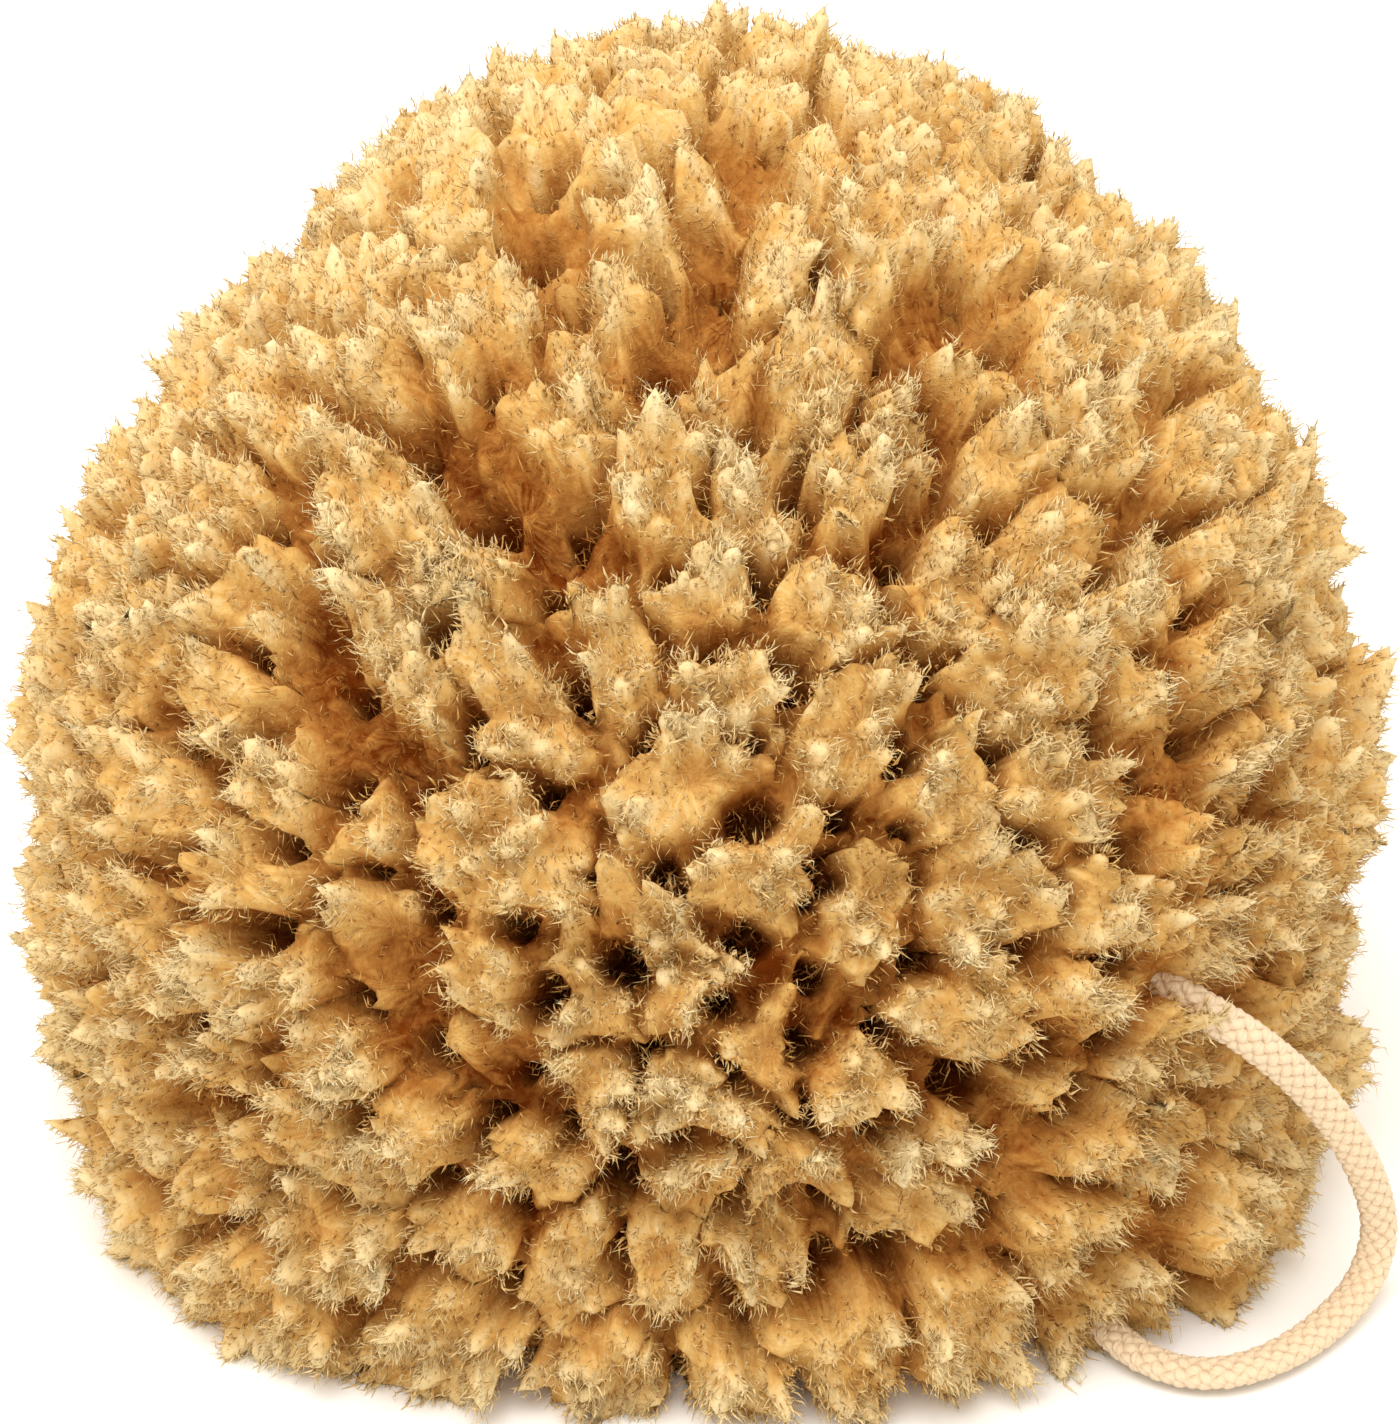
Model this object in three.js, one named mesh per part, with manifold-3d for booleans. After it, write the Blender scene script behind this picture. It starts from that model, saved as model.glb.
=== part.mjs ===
// A natural bath sponge with a cotton cord loop, in millimetres, +Z up.
//
// The sponge is one grown piece: a dome of soft lobes, covered in woolly tufts with hollows and
// pits between them, standing on the flat cut where it was taken off the rock. The origin is the
// middle of that cut, +X runs along the widest side and -Y is the front. The cord is a short
// loop on the front right: it goes into the sponge at both ends and partly lies on the surface
// that the sponge stands on.

import * as THREE from "three";
import { ConvexHull } from "three/addons/math/ConvexHull.js";
import { mergeVertices } from "three/addons/utils/BufferGeometryUtils.js";
import Module from "manifold-3d";

// Overall size of the sponge, tip to tip.
const WIDTH = 140;
const DEPTH = 132;
const HEIGHT = 113;

// The dome. It is widest at the height of the heart, which everything grows away from.
const HEART_HEIGHT = 40;
const DEPTH_BELOW_HEART = 76;
const PLAN_SQUARENESS = 2.7;
const CROWN_FULLNESS = 1.8;
const FOOT_FULLNESS = 4.5;

// Where the dome swells out or draws in: the place from the heart, how far, and how wide.
const SWELLS = [
  { place: [-47, 18, 37], rise: -8, reach: 22 },
  { place: [26, 32, 62], rise: 3, reach: 18 },
];

// Lobes: broad swellings with grooves between them.
const LOBE_PITCH = 27;
const GROOVE_DEPTH = 5;
const GROOVE_WIDTH = 10;

// Tufts: each has a tip and a ring of arms. Their drops are measured down from the lobes' surface.
const TUFT_PITCH = 8.6;
const TIP_LEAN = 1.2;
const TIP_DROP = [0, 2];
const ARM_COUNT = 5;
const ARM_JITTER = [-0.2, 0.2];
const ARM_REACH = [2.4, 3.3];
const HIGH_ARM_DROP = [1, 3.5];
const LOW_ARM_DROP = [4, 6];
const HOLLOW_DROP = [7, 9.5];

// Pits: mouths of the canals that the living sponge drew water through, in some of the hollows.
const PIT_SHARE = 0.08;
const PIT_DROP = [13, 18];

// The cord, and the room that the sponge leaves around it.
const CORD_DIAMETER = 3.4;
const CORD_SIDES = 8;
const CORD_STEPS = 20;
const CORD_CLEARANCE = 0.5;
const CORD_ROUTE = [
  [31, -35, 36],
  [37, -43, 38],
  [42, -49, 38.3],
  [46, -52, 37.3],
  [50.7, -52.5, 34.2],
  [56.1, -51, 28.4],
  [60.8, -49, 21.4],
  [64.4, -47, 13.8],
  [65.8, -46.3, 7.6],
  [64.2, -48.3, 3.2],
  [59.9, -53, 2],
  [54.5, -57.4, 1.9],
  [48.9, -59.6, 1.9],
  [43.9, -58.6, 1.9],
  [39.4, -54.5, 2.5],
  [35.5, -47, 5],
  [32, -39.5, 8],
];

const SPONGE_COLOUR = "#c99a5b";
const CORD_COLOUR = "#ead6b8";
const SEED = 20;
const TRIES_PER_PLACE = 60;

// Radius of a ball about as big as the dome, which turns distances on the skin into angles.
const RADIUS = Math.cbrt((WIDTH / 2) * (DEPTH / 2) * (HEIGHT - HEART_HEIGHT));

const wasm = await Module();
wasm.setup();
const { lerp, seededRandom, smoothstep } = THREE.MathUtils;
seededRandom(SEED);

function between([low, high]) {
  return lerp(low, high, seededRandom());
}

// Directions from the heart that keep at least a pitch apart, tried until hardly any more fit.
function scatter(pitch) {
  const closest = Math.cos(pitch / RADIUS);
  const tries = TRIES_PER_PLACE * Math.round((2 * RADIUS / pitch) ** 2);
  const found = [];
  for (let i = 0; i < tries; i++) {
    const direction = new THREE.Vector3().setFromSphericalCoords(
      1, Math.acos(between([-1, 1])), between([0, 2 * Math.PI]));
    if (found.every((other) => other.dot(direction) < closest)) found.push(direction);
  }
  return found;
}

// The direction that lies a distance away on the skin, on the side that the turn gives.
function aside(direction, distance, turn) {
  const across = new THREE.Vector3(-direction.y, direction.x, 0).normalize();
  across.applyAxisAngle(direction, turn);
  return across.multiplyScalar(distance / RADIUS).add(direction).normalize();
}

// The triangles that join neighbouring directions, as indices into the list.
function skinTriangles(directions) {
  const order = new Map(directions.map((direction, i) => [direction, i]));
  return new ConvexHull().setFromPoints(directions).faces.map(({ edge }) =>
    [edge, edge.next, edge.prev].map((side) => order.get(side.head().point)));
}

// Distance from the heart to the plain dome.
function domeRadius({ x, y, z }) {
  const up = z > 0;
  const across = Math.abs(x / (WIDTH / 2)) ** PLAN_SQUARENESS;
  const along = Math.abs(y / (DEPTH / 2)) ** PLAN_SQUARENESS;
  const plan = (across + along) ** (1 / PLAN_SQUARENESS);
  const rise = Math.abs(z) / (up ? HEIGHT - HEART_HEIGHT : DEPTH_BELOW_HEART);
  const fullness = up ? CROWN_FULLNESS : FOOT_FULLNESS;
  return (plan ** fullness + rise ** fullness) ** (-1 / fullness);
}

// How far the swells lift the dome in a direction.
function swellRise(direction) {
  return SWELLS.reduce((sum, { place, rise, reach }) => {
    const distance = direction.angleTo(new THREE.Vector3(...place)) * RADIUS;
    return sum + rise * Math.exp(-((distance / reach) ** 2));
  }, 0);
}

const lobes = scatter(LOBE_PITCH);

// Distance from the heart to the lobes' surface: it dips where two lobes are equally near.
function lobeRadius(direction) {
  const [nearest, next] = lobes.map((lobe) => lobe.angleTo(direction)).sort((a, b) => a - b);
  const groove = GROOVE_DEPTH * (1 - smoothstep((next - nearest) * RADIUS, 0, GROOVE_WIDTH));
  return domeRadius(direction) + swellRise(direction) - groove;
}

// The skin's points: each is a direction from the heart and a drop below the lobes' surface.
function tuftPoints(middle) {
  const phase = between([0, 2 * Math.PI]);
  const tip = { direction: aside(middle, between([0, TIP_LEAN]), phase), drop: between(TIP_DROP) };
  const arms = Array.from({ length: ARM_COUNT }, (_, i) => {
    const turn = phase + ((i + between(ARM_JITTER)) / ARM_COUNT) * 2 * Math.PI;
    const drop = between(i % 2 ? HIGH_ARM_DROP : LOW_ARM_DROP);
    return { direction: aside(middle, between(ARM_REACH), turn), drop };
  });
  return [tip, ...arms];
}

function hollowPoints(tufts) {
  return skinTriangles(tufts).map((corners) => ({
    direction: corners.reduce((sum, i) => sum.add(tufts[i]), new THREE.Vector3()).normalize(),
    drop: between(seededRandom() < PIT_SHARE ? PIT_DROP : HOLLOW_DROP),
  }));
}

// The whole grown body, before it is cut off the rock, scaled to its overall size.
function grownGeometry() {
  const tufts = scatter(TUFT_PITCH);
  const skin = [...tufts.flatMap(tuftPoints), ...hollowPoints(tufts)];
  const places = skin.map(({ direction, drop }) =>
    direction.clone().multiplyScalar(lobeRadius(direction) - drop));
  const geometry = new THREE.BufferGeometry().setFromPoints(places);
  geometry.setIndex(skinTriangles(skin.map(({ direction }) => direction)).flat());
  geometry.translate(0, 0, HEART_HEIGHT);
  geometry.computeBoundingBox();
  const { min, max } = geometry.boundingBox;
  geometry.translate(-(min.x + max.x) / 2, -(min.y + max.y) / 2, 0);
  geometry.scale(WIDTH / (max.x - min.x), DEPTH / (max.y - min.y), HEIGHT / max.z);
  return geometry;
}

// A block that takes away everything below the foot's cut.
function belowFootGeometry() {
  const drop = 2 * DEPTH_BELOW_HEART;
  return new THREE.BoxGeometry(2 * WIDTH, 2 * DEPTH, drop).translate(0, 0, -drop / 2);
}

// A round tube along the cord's route, longer by a margin at each end.
function tubeGeometry(radius, margin) {
  const route = CORD_ROUTE.map((place) => new THREE.Vector3(...place));
  const [first, second] = route;
  first.lerp(second, -margin / first.distanceTo(second));
  const [beforeLast, last] = route.slice(-2);
  last.lerp(beforeLast, -margin / last.distanceTo(beforeLast));
  const section = Array.from({ length: CORD_SIDES }, (_, i) => {
    const turn = (i / CORD_SIDES) * 2 * Math.PI;
    return new THREE.Vector2(radius * Math.cos(turn), radius * Math.sin(turn));
  });
  const extrudePath = new THREE.CatmullRomCurve3(route);
  return new THREE.ExtrudeGeometry(new THREE.Shape(section), { steps: CORD_STEPS, extrudePath });
}

function solidOf(geometry) {
  const bare = geometry.clone();
  bare.deleteAttribute("normal");
  bare.deleteAttribute("uv");
  const { attributes, index } = mergeVertices(bare);
  return new wasm.Manifold(new wasm.Mesh({
    numProp: 3,
    vertProperties: attributes.position.array,
    triVerts: new Uint32Array(index.array),
  }));
}

function geometryOf(solid) {
  const { vertProperties, triVerts } = solid.getMesh();
  const geometry = new THREE.BufferGeometry();
  geometry.setAttribute("position", new THREE.BufferAttribute(vertProperties, 3));
  geometry.setIndex(new THREE.BufferAttribute(triVerts, 1));
  geometry.computeVertexNormals();
  return geometry;
}

function spongeMesh() {
  const grown = solidOf(grownGeometry());
  const channel = solidOf(tubeGeometry(CORD_DIAMETER / 2 + CORD_CLEARANCE, CORD_CLEARANCE));
  const cut = grown.subtract(solidOf(belowFootGeometry())).subtract(channel);
  const material = new THREE.MeshStandardMaterial({ color: SPONGE_COLOUR, roughness: 0.95, metalness: 0 });
  const mesh = new THREE.Mesh(geometryOf(cut), material);
  mesh.name = "sponge";
  return mesh;
}

function cordMesh() {
  const material = new THREE.MeshStandardMaterial({ color: CORD_COLOUR, roughness: 0.9, metalness: 0 });
  const mesh = new THREE.Mesh(tubeGeometry(CORD_DIAMETER / 2, 0), material);
  mesh.name = "cord_loop";
  return mesh;
}

const seaSponge = new THREE.Group();
seaSponge.add(spongeMesh(), cordMesh());

export default seaSponge;
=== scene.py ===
"""A natural bath sponge with a braided cotton cord loop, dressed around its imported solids."""

import math

import bpy
import numpy as np
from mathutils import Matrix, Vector, noise
from mathutils.kdtree import KDTree


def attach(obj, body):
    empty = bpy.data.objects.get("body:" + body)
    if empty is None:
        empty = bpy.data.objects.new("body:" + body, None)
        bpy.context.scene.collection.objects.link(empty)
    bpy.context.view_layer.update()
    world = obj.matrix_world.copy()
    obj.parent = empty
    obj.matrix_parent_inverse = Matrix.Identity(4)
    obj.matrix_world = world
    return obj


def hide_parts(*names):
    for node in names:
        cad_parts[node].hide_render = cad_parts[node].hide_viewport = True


bl_info = {
    "name": "Bath Sponge Maker",
    "version": (1, 0, 0),
    "blender": (4, 5, 0),
    "location": "3D View > Sidebar > Sponge",
    "description": "Grows a woolly bath sponge and plaits its cotton cord loop",
    "category": "Add Mesh",
}

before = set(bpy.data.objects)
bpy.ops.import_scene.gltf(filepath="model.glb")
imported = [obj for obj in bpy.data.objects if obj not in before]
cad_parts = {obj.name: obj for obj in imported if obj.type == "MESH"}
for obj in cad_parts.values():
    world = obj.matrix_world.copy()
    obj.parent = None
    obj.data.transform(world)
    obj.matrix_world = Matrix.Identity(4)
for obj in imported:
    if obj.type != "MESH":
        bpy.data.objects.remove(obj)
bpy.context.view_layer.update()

MM = 0.001
BODY = "root"
SEED = 7

# The point inside the sponge that its solid was shaped around, and the point its tufts grow from.
HEART = np.array([0.0, 0.0, 0.040])
HOLDFAST = np.array([0.0, 0.0, 0.010])
SKIN_RADIUS = 0.068

# The way that the boldest tufts point; those at the top, the sides and the back are softer.
BOLD_WAY = np.array([0.05, -0.98, 0.17])

# The folds between the sponge's lobes, each a few directions from the heart, in degrees: the turn
# to the right of the front, and the height above level.
FOLDS = (
    ((0, 55), (5, 72), (20, 80)),
    ((21, 41), (35, 54), (50, 61)),
    ((-16, 42), (-37, 48)),
    ((-23, 2), (-25, 22), (-38, 31)),
    ((-7, 8), (0, 11), (8, 3)),
    ((14, 2), (26, -7)),
    ((-19, -4), (-12, -5)),
)

# How far the folds are sunk, and the way that the widest canal holes face.
FOLD_DEPTH = 3.5 * MM
WIDEST_HOLES = np.array([0.15, -0.98, -0.1])

# The canals in the flat cut: how far out they lie, how far apart they are and how deep.
CANALS_WITHIN = 46 * MM
CANAL_PITCH = 6.5 * MM
CANAL_DEPTH = 6 * MM

# Lengths over which the skin's broad, ragged and fine unevenness and the wool's swirls wander.
BROAD, RAGGED, FINE = 11 * MM, 4.5 * MM, 1.7 * MM
SWIRL = 2.0 * MM

# Points and fibres stay this far above the floor.
CLEAR = 0.1 * MM

# The cord's strands: half their width and thickness, how far they rise at a crossing, and their
# sides; and the pitch of the yarn's own ply.
STRAND_WIDE = 0.62 * MM
STRAND_THICK = 0.42 * MM
STRAND_RISE = 0.22 * MM
STRAND_SIDES = 6
PLY_PITCH = 0.25 * MM

# What the camera looks at, and where the light hangs and aims.
CAMERA_TARGET = Vector((0.0004, 0.0, 0.0402))
LIGHT_PLACE = Vector((-0.12, -0.28, 0.75))
LIGHT_TARGET = Vector((0.0, 0.0, 0.05))

# The cord's route, as in the part's source, in metres.
CORD_ROUTE = np.array([
    [31, -35, 36],
    [37, -43, 38],
    [42, -49, 38.3],
    [46, -52, 37.3],
    [50.7, -52.5, 34.2],
    [56.1, -51, 28.4],
    [60.8, -49, 21.4],
    [64.4, -47, 13.8],
    [65.8, -46.3, 7.6],
    [64.2, -48.3, 3.2],
    [59.9, -53, 2],
    [54.5, -57.4, 1.9],
    [48.9, -59.6, 1.9],
    [43.9, -58.6, 1.9],
    [39.4, -54.5, 2.5],
    [35.5, -47, 5],
    [32, -39.5, 8],
]) * MM


# Shared helpers.

def linear(colour):
    """An sRGB hex colour as linear red, green and blue, with full opacity."""
    parts = [int(colour[i:i + 2], 16) / 255 for i in (1, 3, 5)]
    return [c / 12.92 if c <= 0.04045 else ((c + 0.055) / 1.055) ** 2.4 for c in parts] + [1.0]


def add_node(tree, kind, inputs=None, **settings):
    """Adds a node with its settings; each input takes a value or another node's output."""
    node = tree.nodes.new(kind)
    for name, value in settings.items():
        setattr(node, name, value)
    for socket, value in (inputs or {}).items():
        if isinstance(value, bpy.types.NodeSocket):
            tree.links.new(value, node.inputs[socket])
        else:
            node.inputs[socket].default_value = value
    return node


def unit(vectors):
    """Vectors scaled to length one."""
    return vectors / np.maximum(np.linalg.norm(vectors, axis=-1, keepdims=True), 1e-12)


def random_units(rng, count):
    """Directions spread evenly over the ball."""
    return unit(rng.normal(size=(count, 3)))


def square_to(directions):
    """Two directions across each one, at right angles to it and to each other."""
    steep = np.abs(directions[:, 2:]) > 0.9
    across = unit(np.cross(directions, np.where(steep, [1.0, 0.0, 0.0], [0.0, 0.0, 1.0])))
    return across, np.cross(directions, across)


def make_object(name, points, triangles):
    """A mesh object from arrays, alone in the selection and active."""
    mesh = bpy.data.meshes.new(name)
    mesh.vertices.add(len(points))
    mesh.vertices.foreach_set("co", np.asarray(points, np.float32).ravel())
    mesh.loops.add(3 * len(triangles))
    mesh.loops.foreach_set("vertex_index", np.asarray(triangles, np.int32).ravel())
    mesh.polygons.add(len(triangles))
    mesh.polygons.foreach_set("loop_start", np.arange(0, 3 * len(triangles), 3, dtype=np.int32))
    mesh.update(calc_edges=True)
    mesh.validate()
    piece = bpy.data.objects.new(name, mesh)
    bpy.context.scene.collection.objects.link(piece)
    pick(piece)
    return piece


def pick(piece):
    """Selects one object alone and makes it active."""
    bpy.ops.object.select_all(action="DESELECT")
    piece.select_set(True)
    bpy.context.view_layer.objects.active = piece


def apply_modifier(piece, kind, **settings):
    """Adds a modifier to the active object and applies it."""
    modifier = piece.modifiers.new(kind.title(), kind)
    for name, value in settings.items():
        setattr(modifier, name, value)
    bpy.ops.object.modifier_apply(modifier=modifier.name)


def points_of(mesh):
    """A mesh's vertices as an array."""
    points = np.zeros(3 * len(mesh.vertices), np.float32)
    mesh.vertices.foreach_get("co", points)
    return points.reshape(-1, 3).astype(float)


def triangles_of(mesh):
    """A mesh's triangles as an array of vertex numbers."""
    mesh.calc_loop_triangles()
    corners = np.zeros(3 * len(mesh.loop_triangles), np.int32)
    mesh.loop_triangles.foreach_get("vertices", corners)
    return corners.reshape(-1, 3)


def store(mesh, name, values):
    """Keeps a number or a vector for each vertex, for the materials to read."""
    values = np.asarray(values, np.float32)
    kind, key = ("FLOAT", "value") if values.ndim == 1 else ("FLOAT_VECTOR", "vector")
    mesh.attributes.new(name, kind, "POINT").data.foreach_set(key, values.ravel())


def spindles(lines, girths, sides):
    """Points and triangles of many closed spindles, each pointed at both ends of its line.

    lines is spindle by place by xyz, and girths the radius at each place but the two ends.
    """
    count, places = lines.shape[:2]
    rings = places - 2
    across, third = square_to(unit(lines[:, -1] - lines[:, 0]))
    turn = 2 * math.pi * np.arange(sides) / sides
    spokes = np.cos(turn)[:, None] * across[:, None] + np.sin(turn)[:, None] * third[:, None]
    walls = lines[:, 1:-1, None] + girths[:, :, None, None] * spokes[:, None]
    points = np.concatenate(
        [lines[:, :1], walls.reshape(count, rings * sides, 3), lines[:, -1:]], axis=1)
    tip = 1 + rings * sides
    one = []
    for side in range(sides):
        beside = (side + 1) % sides
        one.append((0, 1 + beside, 1 + side))
        for ring in range(rings - 1):
            low, low_beside = 1 + ring * sides + side, 1 + ring * sides + beside
            one.append((low, low_beside, low_beside + sides))
            one.append((low, low_beside + sides, low + sides))
        one.append((tip - sides + side, tip - sides + beside, tip))
    starts = np.arange(count)[:, None, None] * (tip + 1)
    return points.reshape(-1, 3), (np.array(one)[None] + starts).reshape(-1, 3)


def finish_piece(piece, material):
    """Gives a piece its material and lets it ride on the object."""
    piece.data.materials.clear()
    piece.data.materials.append(material)
    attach(piece, BODY)


# The grown sponge.

def solid_skin():
    """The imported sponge's welded corners, their reach, and the reach of their highest neighbours."""
    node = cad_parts["sponge"].data
    corners = points_of(node)[triangles_of(node)].reshape(-1, 3)
    places, welded = np.unique(np.round(corners, 6), axis=0, return_inverse=True)
    triangles = welded.reshape(-1, 3)
    reach = np.linalg.norm(places - HEART, axis=1)
    highest = np.zeros(len(places))
    for near, far in ((0, 1), (1, 2), (2, 0), (1, 0), (2, 1), (0, 2)):
        np.maximum.at(highest, triangles[:, near], reach[triangles[:, far]])
    return places, reach, highest


def tuft_tips():
    """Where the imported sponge's tufts end."""
    places, reach, highest = solid_skin()
    off_cut = places[:, 2] > 1 * MM
    return places[(reach > highest) & off_cut]


def crown_reach(points, tips):
    """How far the tufts' tips lie from the heart, in the direction of each point."""
    tip_ways, tip_reach = unit(tips - HEART), np.linalg.norm(tips - HEART, axis=1)
    sharpness, batch = 120.0, 20000
    reach = np.empty(len(points))
    for start in range(0, len(points), batch):
        ways = unit(points[start:start + batch] - HEART)
        weight = np.exp(sharpness * (ways @ tip_ways.T - 1.0))
        reach[start:start + batch] = weight @ tip_reach / weight.sum(axis=1)
    return reach


def nearest(points, centres, count):
    """How far each point is from its nearest centres, and which they are."""
    tree = KDTree(len(centres))
    for number, centre in enumerate(centres):
        tree.insert(centre, number)
    tree.balance()
    found = [tree.find_n(point, count) for point in points]
    far = np.array([[one[2] for one in row] for row in found])
    return far, np.array([[one[1] for one in row] for row in found])


def rise(values, low, high):
    """Zero below low, one above high, and a smooth rise between them."""
    t = np.clip((values - low) / (high - low), 0.0, 1.0)
    return t * t * (3 - 2 * t)


def uneven(places, size):
    """A vector at each place that wanders over about the size given, the same each run."""
    noise.seed_set(SEED)
    return np.array([noise.noise_vector(Vector(place / size)) for place in places])


def spike_ways(pitch, rng):
    """Directions from the heart to the spikes, about a pitch apart on the skin."""
    count = int(4 * math.pi * (SKIN_RADIUS / pitch) ** 2)
    order = np.arange(count) + 0.5
    polar, turn = np.arccos(1 - 2 * order / count), math.pi * (1 + 5 ** 0.5) * order
    even = np.stack([
        np.cos(turn) * np.sin(polar), np.sin(turn) * np.sin(polar), np.cos(polar)], axis=1)
    return unit(even + 0.4 * pitch / SKIN_RADIUS * rng.normal(size=(count, 3)))


def fold_ways():
    """Directions from the heart to close-set points along the folds."""
    legs = [np.linspace(start, end, 9) for fold in FOLDS for start, end in zip(fold, fold[1:])]
    turn, height = np.radians(np.concatenate(legs)).T
    return np.stack([
        np.sin(turn) * np.cos(height), -np.cos(turn) * np.cos(height), np.sin(height)], axis=1)


def softness(ways):
    """Zero where the tufts are boldest, and one at the top, the sides and the back."""
    return 1 - rise(ways @ BOLD_WAY, 0.3, 0.75)


def spaced(places, pitch):
    """Which of the places to keep, in order, so that no two are closer than a pitch."""
    kept, cells = [], {}
    for number, place in enumerate(places):
        cell = tuple(int(c) for c in place // pitch)
        around = [
            other for i in (-1, 0, 1) for j in (-1, 0, 1) for k in (-1, 0, 1)
            for other in cells.get((cell[0] + i, cell[1] + j, cell[2] + k), ())]
        if all(np.sum((place - other) ** 2) > pitch ** 2 for other in around):
            kept.append(number)
            cells.setdefault(cell, []).append(place)
    return np.array(kept)


def canal_holes(on_skin, ways, on_tuft, bent, sizes, rng):
    """One inside the canal holes, zero outside; most holes are in the valleys at the front."""
    low, front = -0.55, 0.35 + 0.65 * rise(-ways[:, 1], -0.2, 0.6)
    order = rng.permutation(np.flatnonzero((on_tuft < 0.35) & (ways[:, 2] > low)))
    order = order[rng.random(len(order)) < front[order]]
    holes = on_skin[order[spaced(on_skin[order], sizes.hole_pitch)]]
    low_front = rise(unit(holes) @ WIDEST_HOLES, 0.6, 0.95)
    width = rng.uniform(0.4, 0.9, len(holes)) * (1 + 0.35 * low_front) * sizes.hole_radius
    to_hole, hole = nearest(bent, holes, 1)
    return 1 - rise(to_hole[:, 0] / width[hole[:, 0]], 0.7, 1.25)


def comb_round(tuft_ways, tuft, lean, outward, rng):
    """A vector that runs round each tuft, so that streaks follow its fibres outwards."""
    across, third = square_to(tuft_ways)
    turn = np.arctan2((lean * third[tuft]).sum(axis=1), (lean * across[tuft]).sum(axis=1))
    comb = np.stack([np.cos(turn), np.sin(turn), outward / (25 * MM)], axis=1)
    return comb + rng.uniform(0, 50, (len(tuft_ways), 3))[tuft]


def grown_skin(ways, sizes):
    """Where the skin lies in each direction from the heart, its tone and its comb.

    Tufts stand a pitch apart with uneven valleys between them, each tuft ends in spikes that
    splay away from its middle, folds part the lobes, and round canal holes sink into the
    valleys. Tone carries painted light and shade: it is one at the spikes' tips, painted as lit,
    and zero in the holes, painted shade.
    """
    rng = np.random.default_rng(SEED)
    tips = tuft_tips()
    tuft_ways = unit(tips - HEART)
    on_skin = SKIN_RADIUS * ways
    broad, ragged, fine = (uneven(on_skin, size) for size in (BROAD, RAGGED, FINE))
    soft = softness(ways)

    warped = on_skin + 1.5 * MM * ragged + 0.5 * MM * fine
    near, tuft = nearest(warped, SKIN_RADIUS * tuft_ways, 2)
    to_tuft, to_next, tuft = near[:, 0], near[:, 1], tuft[:, 0]
    to_fold, _ = nearest(warped, SKIN_RADIUS * fold_ways(), 1)
    in_fold = 1 - rise(to_fold[:, 0], 0.5 * MM, 6.0 * MM)
    gap = to_next - to_tuft + 2.5 * MM * broad[:, 0] + 3.0 * MM * ragged[:, 1]
    gap -= FOLD_DEPTH * in_fold
    on_tuft = rise(gap, 0.0, sizes.valley_width)
    dished = rng.uniform(0.0, 1.0, len(tips))[tuft] * (1 - rise(to_tuft, 0.5 * MM, 3.0 * MM))

    spikes = spike_ways(sizes.spike_pitch, rng)
    heights = rng.uniform(0.1, 1.0, len(spikes))
    tilts = 0.8 * MM * rng.normal(size=(len(spikes), 3))
    to_spike, spike = nearest(on_skin + 0.3 * MM * fine, SKIN_RADIUS * spikes, 1)
    spike = spike[:, 0]
    spiked = np.clip(1 - to_spike[:, 0] / (0.62 * sizes.spike_pitch), 0, 1) * heights[spike]
    rough = (0.35 + 0.65 * on_tuft) * (1 - 0.35 * soft)
    bent = on_skin + 0.4 * MM * ragged + 0.25 * MM * fine
    in_hole = canal_holes(on_skin, ways, on_tuft, bent, sizes, rng)

    # Height is taken off the crown, the surface that joins the tufts' tips, along the growth.
    drop = (1 - on_tuft) * sizes.valley_depth + 1.5 * MM * dished
    drop += in_hole * sizes.hole_depth + FOLD_DEPTH * in_fold
    drop += rough * (0.5 - spiked) * sizes.spike_height
    drop -= 2.5 * MM * broad[:, 2] + 1.6 * MM * ragged[:, 0] + 0.6 * MM * fine[:, 1]
    front_foot = rise(-ways[:, 2], 0.2, 0.5) * rise(-ways[:, 1], 0.3, 0.7)
    reach = crown_reach(HEART + ways, tips) - 1.0 * MM + 3.5 * MM * front_foot
    crown = HEART + reach[:, None] * ways
    place = crown - drop[:, None] * unit(crown - HOLDFAST)
    lean = warped - SKIN_RADIUS * tuft_ways[tuft]
    place += (sizes.lean * on_tuft * (0.3 + spiked))[:, None] * lean
    place += spiked[:, None] * tilts[spike]

    # Tone is painted shade in the valleys, folds, dished middles and canal holes, deeper where
    # the tufts are bold than where they are soft, and painted light on the spikes' tips; the
    # ragged term adds random unevenness.
    tone = 0.16 + 0.14 * soft + (0.40 - 0.10 * soft) * on_tuft - 0.06 * in_fold
    tone = tone + 0.50 * rough * (spiked - 0.3) + 0.10 * ragged[:, 2] - 0.1 * dished
    tone = np.clip(tone, 0, 1) * (1 - 0.9 * in_hole)
    return place, tone, comb_round(tuft_ways, tuft, lean, to_tuft + 0.7 * drop, rng)


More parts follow.
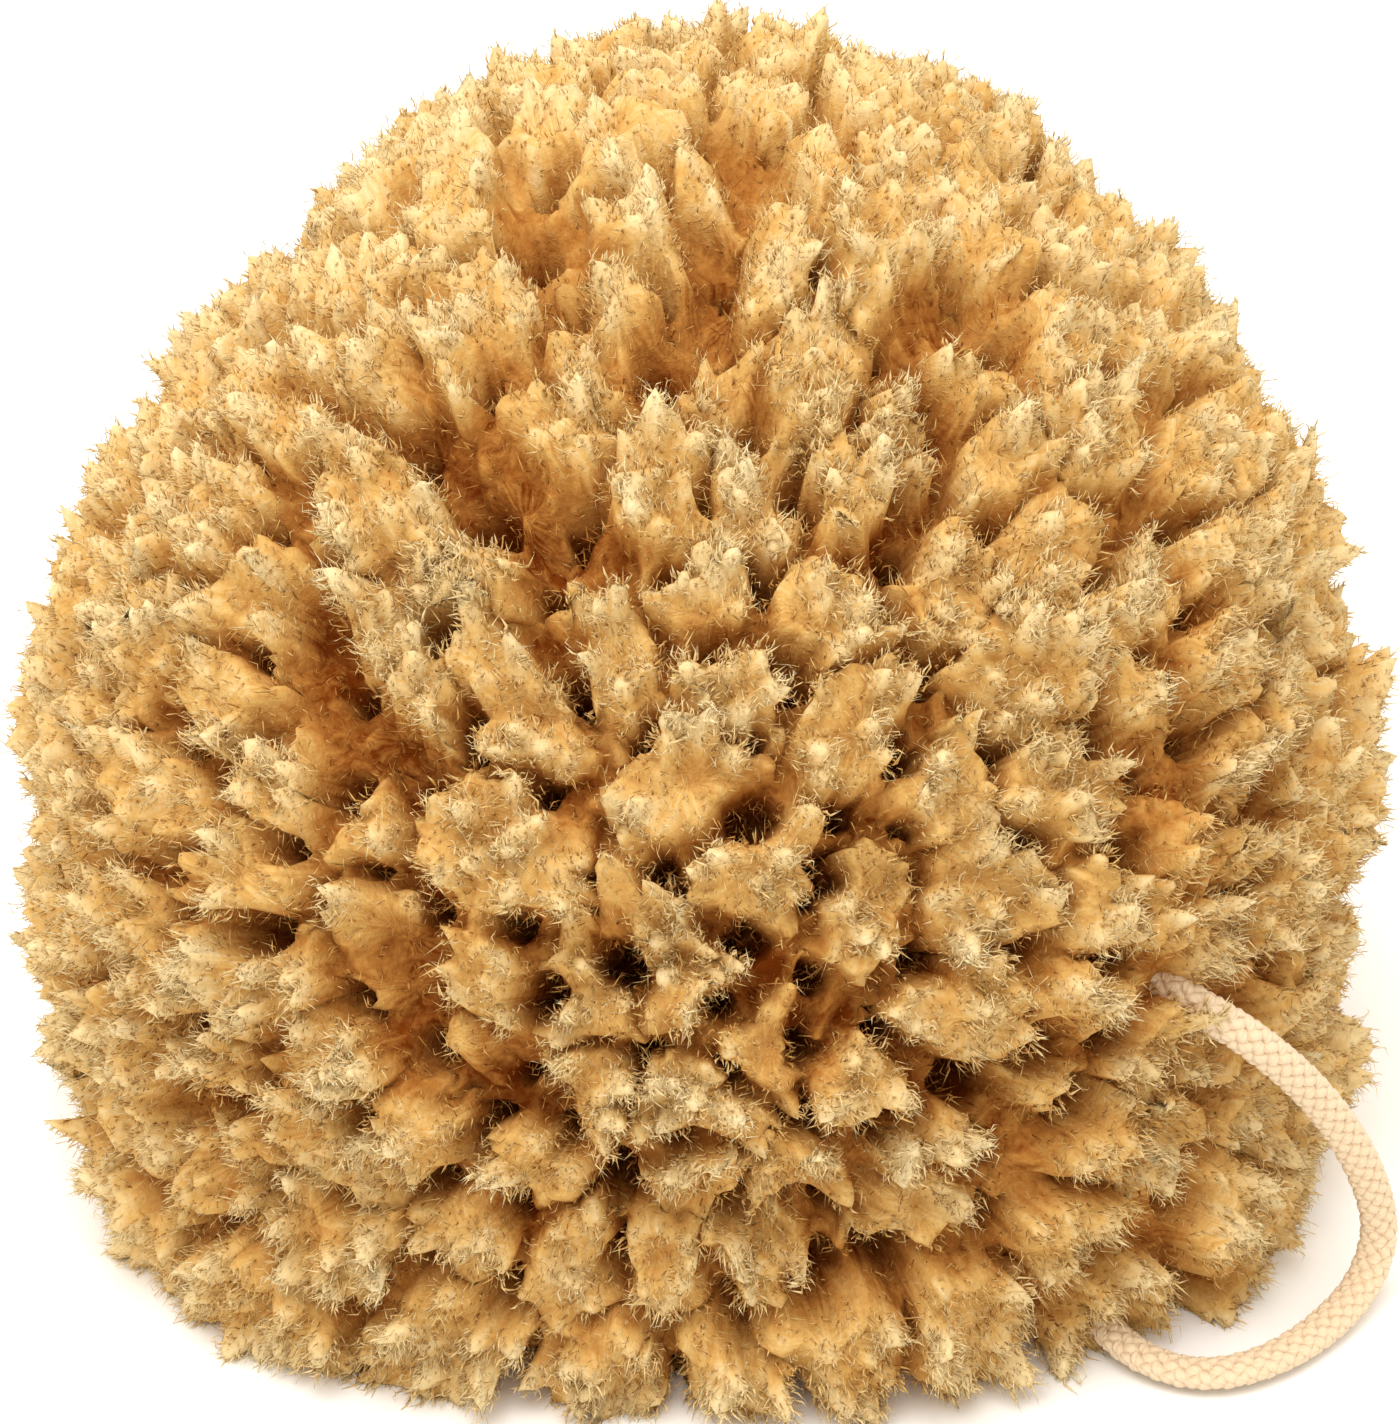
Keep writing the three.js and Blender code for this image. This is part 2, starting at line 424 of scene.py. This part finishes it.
def above_cut(places, tone):
    """Draws everything below the flat cut back to it, towards the heart, and opens canals there."""
    rng = np.random.default_rng(SEED + 1)
    on_cut = places[:, 2] < 0
    below = np.minimum(places[:, 2], 0.0)
    back = HEART[2] / (HEART[2] - below)
    places = HEART + (places - HEART) * back[:, None]
    felt = places[on_cut]
    ragged, fine = (uneven(felt, size) for size in (3 * MM, 1 * MM))
    inner = felt[np.linalg.norm(felt[:, :2], axis=1) < CANALS_WITHIN]
    canals = rng.permutation(inner)
    canals = canals[spaced(canals, CANAL_PITCH)]
    width = rng.uniform(0.7, 2.4, len(canals)) * MM
    to_canal, canal = nearest(felt + 0.4 * MM * ragged, canals, 1)
    in_canal = 1 - rise(to_canal[:, 0] / width[canal[:, 0]], 0.7, 1.2)
    nap = 0.1 * MM + 0.4 * MM * np.abs(ragged[:, 0]) + 0.3 * MM * np.abs(fine[:, 0])
    places[on_cut, 2] += nap
    places[on_cut, 2] += in_canal * CANAL_DEPTH
    tone = tone.copy()
    # The cut felt's tone wanders at random, with painted shade in the canals.
    tone[on_cut] = (0.5 + 0.2 * ragged[:, 1] + 0.1 * fine[:, 1]) * (1 - 0.85 * in_canal)
    return places, tone


class SpongeSizes(bpy.types.PropertyGroup):
    """Sizes of the sponge's tufts and felt."""

    valley_depth: bpy.props.FloatProperty(
        name="Valley depth", description="Depth of the valleys between tufts",
        default=5.2 * MM, unit="LENGTH")
    valley_width: bpy.props.FloatProperty(
        name="Valley width", description="How far a tuft's side slopes down into a valley",
        default=4.5 * MM, unit="LENGTH")
    spike_pitch: bpy.props.FloatProperty(
        name="Spike pitch", description="Distance between neighbouring spikes",
        default=2.5 * MM, unit="LENGTH")
    spike_height: bpy.props.FloatProperty(
        name="Spike height", description="Height of the spikes on a tuft",
        default=4.6 * MM, unit="LENGTH")
    hole_pitch: bpy.props.FloatProperty(
        name="Hole pitch", description="Least distance between canal holes",
        default=7.0 * MM, unit="LENGTH")
    hole_radius: bpy.props.FloatProperty(
        name="Hole radius", description="Radius of the widest canal holes",
        default=2.6 * MM, unit="LENGTH")
    hole_depth: bpy.props.FloatProperty(
        name="Hole depth", description="How far the canal holes sink below the valleys",
        default=8.0 * MM, unit="LENGTH")
    lean: bpy.props.FloatProperty(
        name="Lean", description="How far the spikes lean away from their tuft's middle",
        default=0.40)
    body_triangles: bpy.props.IntProperty(
        name="Body triangles", description="Triangles that the body is thinned to",
        default=198000, min=1000)


class FibreSizes(bpy.types.PropertyGroup):
    """Sizes of the ragged points on the tufts and of the loose fibres on the felt."""

    point_length: bpy.props.FloatProperty(
        name="Point length", description="Length of the longest points",
        default=2.6 * MM, unit="LENGTH")
    point_girth: bpy.props.FloatProperty(
        name="Point girth", description="Radius of a point at its thickest",
        default=0.12 * MM, unit="LENGTH")
    points_in_a_layer: bpy.props.IntProperty(
        name="Points in a layer", description="Points in each of the three layers of points",
        default=33000, min=100)
    fibre_length: bpy.props.FloatProperty(
        name="Fibre length", description="Usual length of a loose fibre",
        default=1.5 * MM, unit="LENGTH")
    fibre_girth: bpy.props.FloatProperty(
        name="Fibre girth", description="Radius of a loose fibre at its middle",
        default=0.055 * MM, unit="LENGTH")
    fibres_in_a_layer: bpy.props.IntProperty(
        name="Fibres in a layer", description="Fibres in each of the two layers of fuzz",
        default=33000, min=100)


class CordSizes(bpy.types.PropertyGroup):
    """Sizes of the braided cord."""

    breadth: bpy.props.FloatProperty(
        name="Breadth", description="Width of the cord's broad side",
        default=3.6 * MM, unit="LENGTH")
    thickness: bpy.props.FloatProperty(
        name="Thickness", description="Width of the cord's narrow side",
        default=2.5 * MM, unit="LENGTH")
    diameter: bpy.props.FloatProperty(
        name="Diameter", description="Diameter of the round cord in the solids",
        default=3.4 * MM, unit="LENGTH")
    strands: bpy.props.IntProperty(
        name="Strands", description="Strands wound each way", default=6, min=3)
    lay: bpy.props.FloatProperty(
        name="Lay", description="Length of cord in which a strand goes once round",
        default=12.0 * MM, unit="LENGTH")


class Finishes(bpy.types.PropertyGroup):
    """Colours of the sponge and the cord, as sRGB hex values."""

    # The hollow colour is painted shade deep in the holes, and the flank colour is felt with painted
    # shade in the valleys.
    hollow_shade: bpy.props.StringProperty(
        name="Hollows", description="Painted shade deep in the holes", default="#743609")
    flank: bpy.props.StringProperty(
        name="Flanks", description="Tan felt in the valleys", default="#b07838")
    felt: bpy.props.StringProperty(
        name="Felt", description="Golden felt on the tufts", default="#cfa560")
    # The crest and tip colours are golden felt painted paler as if lit, the tips most.
    crest: bpy.props.StringProperty(
        name="Crests", description="Pale gold felt on the spikes", default="#dcc08a")
    tip: bpy.props.StringProperty(
        name="Tips", description="Tips of the spikes, painted pale as lit", default="#ead6a8")
    cotton: bpy.props.StringProperty(
        name="Cotton", description="Undyed cotton of the cord", default="#e2cbaa")
    # The worn and shaded cotton is painted shade in the gaps between strands, and random wear.
    worn_and_shaded_cotton: bpy.props.StringProperty(
        name="Worn and shaded cotton", description="Cotton in the gaps between strands", default="#c69a70")


class StageSettings(bpy.types.PropertyGroup):
    """The camera's place and the light."""

    elevation: bpy.props.FloatProperty(
        name="Camera elevation", description="Height of the view above the horizon",
        default=math.radians(28), subtype="ANGLE")
    distance: bpy.props.FloatProperty(
        name="Camera distance", description="From the camera to what it looks at",
        default=0.330, unit="LENGTH")
    lens: bpy.props.FloatProperty(
        name="Lens", description="Focal length on a 36 mm wide sensor, in millimetres",
        default=81.2)
    key_power: bpy.props.FloatProperty(
        name="Key light", description="Power of the broad light above", default=4.4, unit="POWER")
    sky: bpy.props.FloatProperty(
        name="Sky", description="Strength of the even white light all round", default=1.16)


class SpongeMaker(bpy.types.PropertyGroup):
    """Everything a user would change."""

    sponge: bpy.props.PointerProperty(type=SpongeSizes)
    fibres: bpy.props.PointerProperty(type=FibreSizes)
    cord: bpy.props.PointerProperty(type=CordSizes)
    finishes: bpy.props.PointerProperty(type=Finishes)
    stage: bpy.props.PointerProperty(type=StageSettings)


# Materials.

def spongin_felt(finishes):
    """Dry spongin, the sponge's horny fibre, felted: matte and woolly.

    The tips are painted almost cream as if lit, the felt is golden, and the hollows are painted brown
    as shade.
    """
    material = bpy.data.materials.get("dry_spongin_felt")
    if material:
        return material
    material = bpy.data.materials.new("dry_spongin_felt")
    material.use_nodes = True
    tree = material.node_tree
    tree.nodes.clear()
    place = add_node(tree, "ShaderNodeTexCoord").outputs["Object"]
    tone = add_node(tree, "ShaderNodeAttribute", attribute_name="tone").outputs["Fac"]
    # Cloudy patches about 6 mm across, and felt grain about 0.7 mm across.
    patches = add_node(tree, "ShaderNodeTexNoise", {
        "Vector": place, "Scale": 1 / (6 * MM), "Detail": 2.0, "Roughness": 0.6})
    grain = add_node(tree, "ShaderNodeTexNoise", {
        "Vector": place, "Scale": 1 / (0.7 * MM), "Detail": 2.0, "Roughness": 0.7})
    # Streaks about 0.4 mm wide run outwards from the middle of each tuft.
    comb = add_node(tree, "ShaderNodeAttribute", attribute_name="comb").outputs["Vector"]
    streaks = add_node(tree, "ShaderNodeTexNoise", {"Vector": comb, "Scale": 7.0, "Detail": 2.0})
    # The tone attribute carries painted light and shade; patches, grain and streaks add random tone.
    shade = tone
    for pattern, weight in ((patches, 0.35), (grain, 0.25), (streaks, 0.45)):
        shift = add_node(tree, "ShaderNodeMath", {
            0: pattern.outputs["Fac"], 1: weight, 2: -0.5 * weight}, operation="MULTIPLY_ADD")
        added = add_node(tree, "ShaderNodeMath", {0: shade, 1: shift.outputs[0]}, operation="ADD")
        shade = added.outputs[0]
    # The ramp runs from painted shade, hollow and flank, through the golden felt to painted light,
    # crest and tip.
    ramp = add_node(tree, "ShaderNodeValToRGB", {"Fac": shade})
    stops = ramp.color_ramp.elements
    stops[0].position, stops[0].color = 0.0, linear(finishes.hollow_shade)
    stops[1].position, stops[1].color = 0.86, linear(finishes.tip)
    for position, colour in ((0.22, finishes.flank), (0.45, finishes.felt), (0.62, finishes.crest)):
        stops.new(position).color = linear(colour)
    bump = add_node(tree, "ShaderNodeBump", {
        "Height": grain.outputs["Fac"], "Strength": 0.7, "Distance": 0.3 * MM})
    surface = add_node(tree, "ShaderNodeBsdfPrincipled", {
        "Base Color": ramp.outputs["Color"], "Normal": bump.outputs["Normal"],
        "Roughness": 0.95, "Specular IOR Level": 0.05})
    add_node(tree, "ShaderNodeOutputMaterial", {"Surface": surface.outputs["BSDF"]})
    return material


def undyed_cotton(finishes):
    """Undyed cotton yarn, plaited: matte and off-white, with painted shade in the gaps between
    strands.
    """
    material = bpy.data.materials.new("undyed_cotton")
    material.use_nodes = True
    tree = material.node_tree
    tree.nodes.clear()
    place = add_node(tree, "ShaderNodeTexCoord").outputs["Object"]
    # Proud is low where a strand dips under a crossing and on its inner side, and those places get
    # painted shade.
    proud = add_node(tree, "ShaderNodeAttribute", attribute_name="proud").outputs["Fac"]
    # Yarn ends about 0.25 mm across, drawn in the strands' own length and girth.
    ply = add_node(tree, "ShaderNodeAttribute", attribute_name="ply").outputs["Fac"]
    yarn = add_node(tree, "ShaderNodeMath", {0: ply}, operation="SINE")
    blotch = add_node(tree, "ShaderNodeTexNoise", {
        "Vector": place, "Scale": 1 / (1.5 * MM), "Detail": 3.0})
    wear = add_node(tree, "ShaderNodeMath", {
        0: blotch.outputs["Fac"], 1: 0.5, 2: -0.25}, operation="MULTIPLY_ADD")
    shade = add_node(tree, "ShaderNodeMath", {
        0: proud, 1: wear.outputs[0]}, operation="ADD", use_clamp=True)
    colour = add_node(tree, "ShaderNodeMix", {
        0: shade.outputs[0], 6: linear(finishes.worn_and_shaded_cotton), 7: linear(finishes.cotton)},
        data_type="RGBA")
    bump = add_node(tree, "ShaderNodeBump", {
        "Height": yarn.outputs[0], "Strength": 0.5, "Distance": 0.1 * MM})
    surface = add_node(tree, "ShaderNodeBsdfPrincipled", {
        "Base Color": colour.outputs[2], "Normal": bump.outputs["Normal"],
        "Roughness": 0.9, "Specular IOR Level": 0.2, "Sheen Weight": 0.2})
    add_node(tree, "ShaderNodeOutputMaterial", {"Surface": surface.outputs["BSDF"]})
    return material


# Operators.

class SPONGE_OT_stage(bpy.types.Operator):
    """Sets the camera, the pale floor and the soft light"""

    bl_idname = "sponge.stage"
    bl_label = "Set the stage"

    def execute(self, context):
        stage = context.scene.sponge_maker.stage
        scene = context.scene
        away = Vector((0.0, -math.cos(stage.elevation), math.sin(stage.elevation)))
        bpy.ops.object.camera_add(location=CAMERA_TARGET + stage.distance * away)
        camera = context.object
        camera.rotation_euler = away.to_track_quat("Z", "Y").to_euler()
        camera.data.sensor_fit = "HORIZONTAL"
        camera.data.sensor_width = 36.0
        camera.data.lens = stage.lens
        camera.data.clip_start = 0.01
        scene.camera = camera

        bpy.ops.mesh.primitive_plane_add(size=6.0, location=(0.0, 0.0, 0.0))
        floor = context.object
        floor.name = "floor"
        paper = bpy.data.materials.new("white_paper")
        paper.use_nodes = True
        shader = paper.node_tree.nodes["Principled BSDF"]
        shader.inputs["Base Color"].default_value = linear("#fbfbfa")
        shader.inputs["Roughness"].default_value = 0.9
        floor.data.materials.append(paper)

        bpy.ops.object.light_add(type="AREA", location=LIGHT_PLACE)
        key = context.object
        key.data.energy = stage.key_power
        key.data.shape = "DISK"
        key.data.size = 0.6
        key.rotation_euler = (LIGHT_PLACE - LIGHT_TARGET).to_track_quat("Z", "Y").to_euler()

        scene.world = bpy.data.worlds.new("white_room")
        scene.world.use_nodes = True
        sky = scene.world.node_tree.nodes["Background"]
        sky.inputs["Color"].default_value = linear("#fffaf2")
        sky.inputs["Strength"].default_value = stage.sky
        scene.view_settings.view_transform = "Standard"
        return {"FINISHED"}


def smooth_route(step):
    """The cord's centreline, in even steps, and its two directions across."""
    t = np.linspace(0, 1, 40, endpoint=False)[:, None]
    ends = np.concatenate([
        2 * CORD_ROUTE[:1] - CORD_ROUTE[1:2], CORD_ROUTE, 2 * CORD_ROUTE[-1:] - CORD_ROUTE[-2:-1]])
    runs = []
    for before, start, end, after in zip(ends, ends[1:], ends[2:], ends[3:]):
        runs.append(0.5 * (
            2 * start + (end - before) * t + (2 * before - 5 * start + 4 * end - after) * t ** 2
            + (3 * start - before - 3 * end + after) * t ** 3))
    fine = np.concatenate(runs + [CORD_ROUTE[-1:]])
    gone = np.concatenate([[0], np.cumsum(np.linalg.norm(np.diff(fine, axis=0), axis=1))])
    at = np.linspace(0, gone[-1], int(gone[-1] / step) + 1)
    line = np.stack([np.interp(at, gone, fine[:, k]) for k in range(3)], axis=1)
    along = unit(np.gradient(line, axis=0))
    # The broad side starts out facing the front and turns to lie flat on the floor.
    lying = np.clip((at / gone[-1] - 0.35) / 0.35, 0, 1)[:, None]
    facing = unit((1 - lying) * np.array([0.0, -1.0, 0.2]) + lying * np.array([0.0, 0.0, 1.0]))
    broad = unit(np.cross(along, facing))
    return at, line, broad, np.cross(broad, along)


def tube_triangles(rows, sides):
    """Triangles of a closed tube with rows of points round it, and a flat cap on each end."""
    low = np.arange(rows - 1)[:, None] * sides + np.arange(sides)[None]
    beside = np.arange(rows - 1)[:, None] * sides + (np.arange(sides) + 1)[None] % sides
    last = (rows - 1) * sides
    return np.concatenate([
        np.stack([low, beside, beside + sides], axis=-1).reshape(-1, 3),
        np.stack([low, beside + sides, low + sides], axis=-1).reshape(-1, 3),
        [[0, k + 1, k] for k in range(1, sides - 1)],
        [[last, last + k, last + k + 1] for k in range(1, sides - 1)]])


class SPONGE_OT_cord(bpy.types.Operator):
    """Plaits the cotton cord along its route"""

    bl_idname = "sponge.cord"
    bl_label = "Plait the cord"

    def execute(self, context):
        maker = context.scene.sponge_maker
        cord = maker.cord
        crossing = cord.lay / (2 * cord.strands)
        at, line, broad, flat = smooth_route(crossing / 4)
        ring = 2 * math.pi * np.arange(STRAND_SIDES) / STRAND_SIDES
        points, triangles, proud, ply = [], [], [], []
        for hand in (1, -1):
            for strand in range(cord.strands):
                turn = 2 * math.pi * (strand / cord.strands + hand * at / cord.lay)
                lift = hand * np.cos(math.pi * at / crossing)
                reach_broad = cord.breadth / 2 - STRAND_THICK * 1.3 + STRAND_RISE * lift
                reach_flat = cord.thickness / 2 - STRAND_THICK * 1.3 + STRAND_RISE * lift
                middle = (
                    line + (reach_broad * np.cos(turn))[:, None] * broad
                    + (reach_flat * np.sin(turn))[:, None] * flat)
                out = unit(
                    np.cos(turn)[:, None] * broad * cord.thickness
                    + np.sin(turn)[:, None] * flat * cord.breadth)
                way = unit(np.gradient(middle, axis=0))
                wide = unit(np.cross(way, out))
                out = np.cross(wide, way)
                walls = (
                    middle[:, None]
                    + (STRAND_WIDE * np.cos(ring))[:, None] * wide[:, None]
                    + (STRAND_THICK * np.sin(ring))[:, None] * out[:, None])
                start = sum(len(p) for p in points)
                triangles.append(start + tube_triangles(len(at), STRAND_SIDES))
                points.append(walls.reshape(-1, 3))
                # Painted shade: proud falls where a strand dips under a crossing and on its inner
                # side.
                proud.append((0.55 + 0.35 * lift[:, None] + 0.25 * np.sin(ring)[None]).ravel())
                ply.append((at[:, None] / PLY_PITCH * math.pi + 3 * ring[None]).ravel())
        piece = make_object("braided_cord", np.concatenate(points), np.concatenate(triangles))
        store(piece.data, "proud", np.concatenate(proud))
        store(piece.data, "ply", np.concatenate(ply))
        bpy.ops.object.mode_set(mode="EDIT")
        bpy.ops.mesh.select_all(action="SELECT")
        bpy.ops.mesh.normals_make_consistent(inside=False)
        bpy.ops.object.mode_set(mode="OBJECT")
        bpy.ops.object.shade_smooth()
        finish_piece(piece, undyed_cotton(maker.finishes))
        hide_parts("cord_loop")
        return {"FINISHED"}


class SPONGE_OT_body(bpy.types.Operator):
    """Grows the sponge's felted body from a ball"""

    bl_idname = "sponge.body"
    bl_label = "Grow the body"

    def execute(self, context):
        maker = context.scene.sponge_maker
        sizes = maker.sponge
        bpy.ops.mesh.primitive_ico_sphere_add(subdivisions=8, radius=1.0)
        body = context.object
        body.name = "sponge_body"
        places, tone, comb = grown_skin(unit(points_of(body.data)), sizes)
        places, tone = above_cut(places, tone)
        body.data.vertices.foreach_set("co", places.astype(np.float32).ravel())
        apply_modifier(body, "DECIMATE", ratio=sizes.body_triangles / len(triangles_of(body.data)))
        _, same = nearest(points_of(body.data), places, 1)
        store(body.data, "tone", tone[same[:, 0]])
        store(body.data, "comb", comb[same[:, 0]])
        bpy.ops.object.shade_smooth()
        finish_piece(body, spongin_felt(maker.finishes))
        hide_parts("sponge")
        return {"FINISHED"}


def felt_surface():
    """The body's triangles as arrays: corners, outward direction, area and tone."""
    mesh = bpy.data.objects["sponge_body"].data
    points, triangles = points_of(mesh), triangles_of(mesh)
    tone = np.zeros(len(points), np.float32)
    mesh.attributes["tone"].data.foreach_get("value", tone)
    corners = points[triangles]
    cross = np.cross(corners[:, 1] - corners[:, 0], corners[:, 2] - corners[:, 0])
    area = np.maximum(np.linalg.norm(cross, axis=1), 1e-15)
    return corners, cross / area[:, None], area, tone[triangles].mean(axis=1)


def scatter(corners, chance, count, rng):
    """Random places on the triangles, and which triangle each is on."""
    at = rng.choice(len(corners), count, p=chance / chance.sum())
    u, v = rng.random((2, count, 1))
    over = u + v > 1
    u, v = np.where(over, 1 - u, u), np.where(over, 1 - v, v)
    a, b, c = (corners[at, k] for k in range(3))
    return a + u * (b - a) + v * (c - a), at


def sow(least, count, rng):
    """Random roots on the felt, most of them on the crests of the boldest tufts.

    Gives the roots, the felt's outward direction and tone there, the way of growth, and a swirl
    that neighbours share, as in brushed wool.
    """
    corners, normal, area, tone = felt_surface()
    bold = 1 - 0.6 * softness(unit(corners.mean(axis=1) - HEART))
    keep_up = (rise(tone, 0.25, 0.60) ** 1.5 + least) * bold
    root, at = scatter(corners, area * keep_up, count, rng)
    return root, normal[at], tone[at][:, None], unit(root - HOLDFAST), uneven(root, SWIRL)


def plant(name, lines, girth, shade, rng, finishes):
    """Joins many spindles into one woolly piece, with a tone for each of their points."""
    lines[:, :, 2] = np.maximum(lines[:, :, 2], CLEAR)
    piece = make_object(name, *spindles(lines, girth, 3))
    comb = rng.uniform(0, 50, (len(lines), 3))
    store(piece.data, "tone", np.clip(shade, 0, 1).ravel())
    store(piece.data, "comb", np.repeat(comb, shade.shape[1], axis=0))
    finish_piece(piece, spongin_felt(finishes))


class SPONGE_OT_points(bpy.types.Operator):
    """Sets ragged points on the tufts"""

    bl_idname = "sponge.points"
    bl_label = "Set the points"

    def execute(self, context):
        maker = context.scene.sponge_maker
        sizes = maker.fibres
        count = sizes.points_in_a_layer
        for layer in (1, 2, 3):
            rng = np.random.default_rng(SEED + 10 + layer)
            root, normal, tone, grow, swirl = sow(0.06, count, rng)
            stray = random_units(rng, count)
            way = unit(0.8 * grow + 0.4 * normal + 0.8 * swirl + 0.2 * stray)
            length = 0.5 * MM + sizes.point_length * rng.beta(1.4, 2.4, (count, 1))
            length *= 1 - 0.45 * softness(unit(root - HEART))[:, None]
            bow = 0.3 * length * random_units(rng, count)
            girth = sizes.point_girth * rng.uniform(0.5, 1.2, (count, 1))
            lines = np.stack([
                root - 0.5 * MM * way,
                root + 0.35 * length * way + bow,
                root + length * way], axis=1)
            # Points carry the felt's painted light and shade, and are painted paler towards their tips
            # as if lit.
            shade = 0.8 * tone + np.array([0.04, 0.14, 0.14, 0.14, 0.26])
            plant(f"sponge_points_{layer}", lines, girth, shade, rng, maker.finishes)
        return {"FINISHED"}


class SPONGE_OT_fibres(bpy.types.Operator):
    """Scatters fine bent fibres over everything"""

    bl_idname = "sponge.fibres"
    bl_label = "Scatter the fibres"

    def execute(self, context):
        maker = context.scene.sponge_maker
        sizes = maker.fibres
        count = sizes.fibres_in_a_layer
        for layer in (1, 2):
            rng = np.random.default_rng(SEED + 13 + layer)
            root, normal, tone, grow, swirl = sow(0.4, count, rng)
            stray = random_units(rng, count)
            way = unit(0.45 * normal + 0.4 * grow + 0.6 * swirl + 0.6 * stray)
            length = sizes.fibre_length * rng.uniform(0.5, 1.6, (count, 1))
            bow = 0.45 * length * random_units(rng, count)
            girth = sizes.fibre_girth * rng.uniform(0.7, 1.3, (count, 1))
            lines = np.stack([
                root - 0.1 * MM * normal,
                root + 0.5 * length * way + bow,
                root + length * way], axis=1)
            # Fibres carry the felt's painted light and shade, and are painted paler towards their tips
            # as if lit.
            shade = 0.8 * tone + np.array([0.08, 0.20, 0.20, 0.20, 0.28])
            plant(f"sponge_fibres_{layer}", lines, girth, shade, rng, maker.finishes)
        return {"FINISHED"}


class SPONGE_PT_maker(bpy.types.Panel):
    """Lists the sponge's sizes, colours and steps"""

    bl_label = "Bath Sponge"
    bl_idname = "SPONGE_PT_maker"
    bl_space_type = "VIEW_3D"
    bl_region_type = "UI"
    bl_category = "Sponge"

    def draw(self, context):
        maker = context.scene.sponge_maker
        for group in (maker.stage, maker.cord, maker.sponge, maker.fibres, maker.finishes):
            box = self.layout.box()
            for name in group.__annotations__:
                box.prop(group, name)
        for operator in OPERATORS:
            self.layout.operator(operator.bl_idname)


OPERATORS = (
    SPONGE_OT_stage, SPONGE_OT_cord, SPONGE_OT_body, SPONGE_OT_points, SPONGE_OT_fibres)
CLASSES = (
    SpongeSizes, FibreSizes, CordSizes, Finishes, StageSettings, SpongeMaker, *OPERATORS,
    SPONGE_PT_maker)


def register():
    for one in CLASSES:
        bpy.utils.register_class(one)
    bpy.types.Scene.sponge_maker = bpy.props.PointerProperty(type=SpongeMaker)


def unregister():
    del bpy.types.Scene.sponge_maker
    for one in reversed(CLASSES):
        bpy.utils.unregister_class(one)


def main():
    register()
    bpy.ops.object.select_all(action="DESELECT")
    bpy.ops.sponge.stage()
    bpy.ops.sponge.cord()
    bpy.ops.sponge.body()
    bpy.ops.sponge.points()
    bpy.ops.sponge.fibres()


if __name__ == "__main__":
    main()
